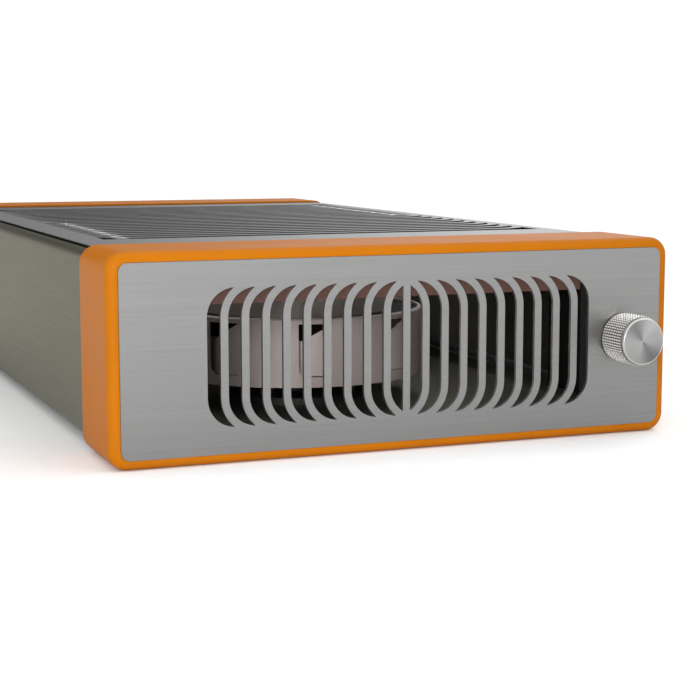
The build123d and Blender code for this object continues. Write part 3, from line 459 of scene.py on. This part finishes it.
EDGE_WIDTHS = {
    "front_plate": 0.25,
    "front_subframe": 0.2,
    "rear_plate": 0.3,
    "top_cover": 0.25,
    "case_tray": 0.25,
    "control_housing": 0.3,
    "blower_wheel": 0.15,
    "ac_outlets": 0.4,
    "rocker": 0.4,
    "rocker_frame": 0.4,
    "tie_rod_nuts": 0.35,
    "fan_screws": 0.35,
    "usb_sockets": 0.2,
    "charge_inlet": 0.3,
}


def soften_edges():
    """Break the sharp edges of sheet and turned parts, as deburring does."""
    for name, width in EDGE_WIDTHS.items():
        bevel = nodes[name].modifiers.new("deburr", "BEVEL")
        bevel.width = width * MM
        bevel.segments = 2
        bevel.limit_method = "ANGLE"
        bevel.angle_limit = math.radians(40)
        bevel.harden_normals = False


# ---- Knurled knob ----------------------------------------------------------------------------

KNURLS_ROUND = 54
KNURL_ROWS = 8
KNOB_SIDES = KNURLS_ROUND * 2
KNOB_RIM = 9.2 * MM
DISH_DEPTH = 0.8 * MM
DISH_STEPS = 17
BEVEL_DEPTH = 1.7 * MM
SHAFT_BORE = 3.05 * MM
SHAFT_REACH = 12.6 * MM
NUT_POCKET = 7.8 * MM
NUT_DEPTH = 4.3 * MM

# The knob's materials by the kind of ring: its face, its plain sides and its knurls.
KNOB_SLOTS = {"face": "knob_metal", "side": "knob_side", "knurled": "knob_knurl"}


def knob_profile(radius, length):
    """(radius, depth from the face, kind of ring) from the middle of the face to the bore."""
    start = BEVEL_DEPTH
    stop = length - 0.25 * MM
    points = [(0.0, DISH_DEPTH, "face")]
    for step in range(1, DISH_STEPS):
        part = step / DISH_STEPS
        points.append((KNOB_DISH * part, DISH_DEPTH * (1 - part**2.2), "face"))
    points += [
        (KNOB_DISH, 0.04 * MM, "face"),
        (KNOB_DISH + 0.06 * MM, 0.0, "side"),
        (KNOB_RIM - 0.08 * MM, 0.0, "side"),
        (KNOB_RIM + 0.06 * MM, 0.1 * MM, "side"),
        (KNOB_RIM + 0.35 * MM, 0.5 * MM, "side"),
        (radius - 0.75 * MM, 0.62 * MM, "side"),
        (radius - KNURL_DEPTH, start - 0.3 * MM, "side"),
    ]
    halves = KNURL_ROWS * 2
    for step in range(halves + 1):
        points.append((radius, start + (stop - start) * step / halves, "knurled"))
    points += [
        (radius - KNURL_DEPTH, length, "side"),
        (NUT_POCKET, length, "side"),
        (NUT_POCKET, length - NUT_DEPTH, "side"),
        (SHAFT_BORE, length - NUT_DEPTH, "side"),
        (SHAFT_BORE, length - SHAFT_REACH, "side"),
        (0.0, length - SHAFT_REACH, "side"),
    ]
    return points


def knob_rings(points):
    """Vertices of every ring of the profile, and the indices that each ring holds."""
    centre = knob_centre()
    first_knurl = [kind for _, _, kind in points].index("knurled")
    vertices = []
    rings = []
    for place, (ring_radius, depth, kind) in enumerate(points):
        if ring_radius == 0.0:
            rings.append([len(vertices)] * KNOB_SIDES)
            vertices.append((centre.x, centre.y + depth, centre.z))
            continue
        ring = []
        for side in range(KNOB_SIDES):
            angle = 2 * math.pi * side / KNOB_SIDES
            peak = side % 2 == 1 and (place - first_knurl) % 2 == 1
            local = ring_radius
            if kind == "knurled" and not peak:
                local -= KNURL_DEPTH
            across, lift = local * math.cos(angle), local * math.sin(angle)
            ring.append(len(vertices))
            vertices.append((centre.x + across, centre.y + depth, centre.z + lift))
        rings.append(ring)
    return vertices, rings, first_knurl


def knurled_knob():
    """Lathe the knob's profile round its axis, with a grid of small pyramids on its side."""
    low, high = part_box("knob")
    points = knob_profile((high.x - low.x) / 2, high.y - low.y)
    vertices, rings, first_knurl = knob_rings(points)
    kinds = list(KNOB_SLOTS)
    faces = []
    smooth = []
    slots = []
    for place, (first, second) in enumerate(zip(rings, rings[1:])):
        kind = points[place + 1][2]
        if points[place][2] != "knurled" and kind == "knurled":
            kind = "side"
        for side in range(KNOB_SIDES):
            after = (side + 1) % KNOB_SIDES
            a, b, c, d = first[side], first[after], second[after], second[side]
            if kind != "knurled":
                made = [tuple(dict.fromkeys((a, b, c, d)))]
            elif (place - first_knurl + side) % 2 == 0:
                made = [(a, b, c), (a, c, d)]
            else:
                made = [(a, b, d), (b, c, d)]
            faces += made
            smooth += [kind != "knurled"] * len(made)
            slots += [kinds.index(kind)] * len(made)
    mesh = bpy.data.meshes.new("knurled_knob")
    mesh.from_pydata(vertices, [], faces)
    for slot in KNOB_SLOTS.values():
        mesh.materials.append(materials[slot])
    mesh.polygons.foreach_set("use_smooth", smooth)
    mesh.polygons.foreach_set("material_index", slots)
    piece = bpy.data.objects.new("knurled_knob", mesh)
    bpy.context.scene.collection.objects.link(piece)
    mesh.set_sharp_from_angle(angle=math.radians(28))
    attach(piece, "knob")
    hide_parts("knob")


# ---- Stage, lights and camera ----------------------------------------------------------------


def make_floor():
    """A wide pale floor, a hair below the bumpers so that the two faces never share a plane."""
    half = 30.0
    level = -0.1 * MM
    corners = [(-half, -half, level), (half, -half, level), (half, half, level), (-half, half, level)]
    mesh = bpy.data.meshes.new("floor")
    mesh.from_pydata(corners, [], [(0, 1, 2, 3)])
    mesh.materials.append(floor_surface("pale_floor"))
    floor = bpy.data.objects.new("floor", mesh)
    bpy.context.scene.collection.objects.link(floor)


def area_light(name, place, aim, size, power, spread=180):
    """A soft rectangular light at a place, turned towards a point."""
    lamp = bpy.data.lights.new(name, "AREA")
    lamp.shape = "RECTANGLE"
    lamp.size = size[0]
    lamp.size_y = size[1]
    lamp.energy = power
    lamp.spread = math.radians(spread)
    holder = bpy.data.objects.new(name, lamp)
    holder.location = place
    holder.rotation_mode = "QUATERNION"
    holder.rotation_quaternion = (Vector(aim) - Vector(place)).to_track_quat("-Z", "Y")
    bpy.context.scene.collection.objects.link(holder)


def make_world():
    """A white studio: a white horizon behind the object, bright overhead and to the right, dim in front."""
    world = bpy.data.worlds.new("studio")
    world.use_nodes = True
    bpy.context.scene.world = world
    tree = world.node_tree
    background = tree.nodes["Background"]
    background.inputs["Color"].default_value = (1, 1, 1, 1)
    direction = tree.nodes.new("ShaderNodeTexCoord")
    parts = tree.nodes.new("ShaderNodeSeparateXYZ")
    tree.links.new(direction.outputs["Generated"], parts.inputs[0])

    def level(axis, low, high, at_low, at_high):
        made = tree.nodes.new("ShaderNodeMapRange")
        made.interpolation_type = "SMOOTHSTEP"
        made.inputs["From Min"].default_value = low
        made.inputs["From Max"].default_value = high
        made.inputs["To Min"].default_value = at_low
        made.inputs["To Max"].default_value = at_high
        tree.links.new(parts.outputs[axis], made.inputs["Value"])
        return made.outputs["Result"]

    def combine(operation, first, second):
        made = tree.nodes.new("ShaderNodeMath")
        made.operation = operation
        tree.links.new(first, made.inputs[0])
        tree.links.new(second, made.inputs[1])
        return made.outputs["Value"]

    front_to_back = level("Y", -0.5, 0.7, 0.35, 1.0)
    left_to_right = level("X", 0.15, 0.5, 0.1, 1.4)
    horizon = level("Z", 0.085, 0.11, 1.1, 0.0)
    behind = level("Y", 0.2, 0.5, 0.0, 1.0)
    overhead = level("Z", 0.2, 1.0, 0.0, 1.3)
    around = combine("ADD", combine("MULTIPLY", front_to_back, left_to_right), overhead)
    front = combine("MULTIPLY", level("Y", -0.4, 0.1, 0.35, 0.0), level("Z", 0.0, 0.5, 1.0, 0.4))
    total = combine("MAXIMUM", combine("ADD", around, front), combine("MULTIPLY", horizon, behind))
    tree.links.new(total, background.inputs["Strength"])


def make_lights():
    area_light("vent_light", (-0.40, -0.86, 0.20), (-0.01, -0.17, 0.035), (0.30, 0.16), 0.24, spread=34)
    area_light("front_fill", (-0.9, -1.6, 0.5), (0, -0.15, 0.04), (0.9, 0.9), 4)


def make_camera():
    """Look at the front plate from its left and a little above, through a long lens."""
    low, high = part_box("front_plate")
    plate_width = high.x - low.x
    plate_centre = Vector((0, low.y, (low.z + high.z) / 2))
    data = bpy.data.cameras.new("camera")
    data.lens = 82.94
    data.sensor_width = 36.0
    data.clip_start = 0.01
    camera = bpy.data.objects.new("camera", data)
    camera.location = plate_centre + plate_width * Vector((-1.10236, -2.50158, 0.36389))
    camera.rotation_euler = (math.radians(90 - 7.646), 0, math.radians(-21.747))
    bpy.context.scene.collection.objects.link(camera)
    bpy.context.scene.camera = camera


dress_nodes()
soften_edges()
knurled_knob()
make_floor()
make_world()
make_lights()
make_camera()
bpy.context.scene.view_settings.view_transform = "Standard"
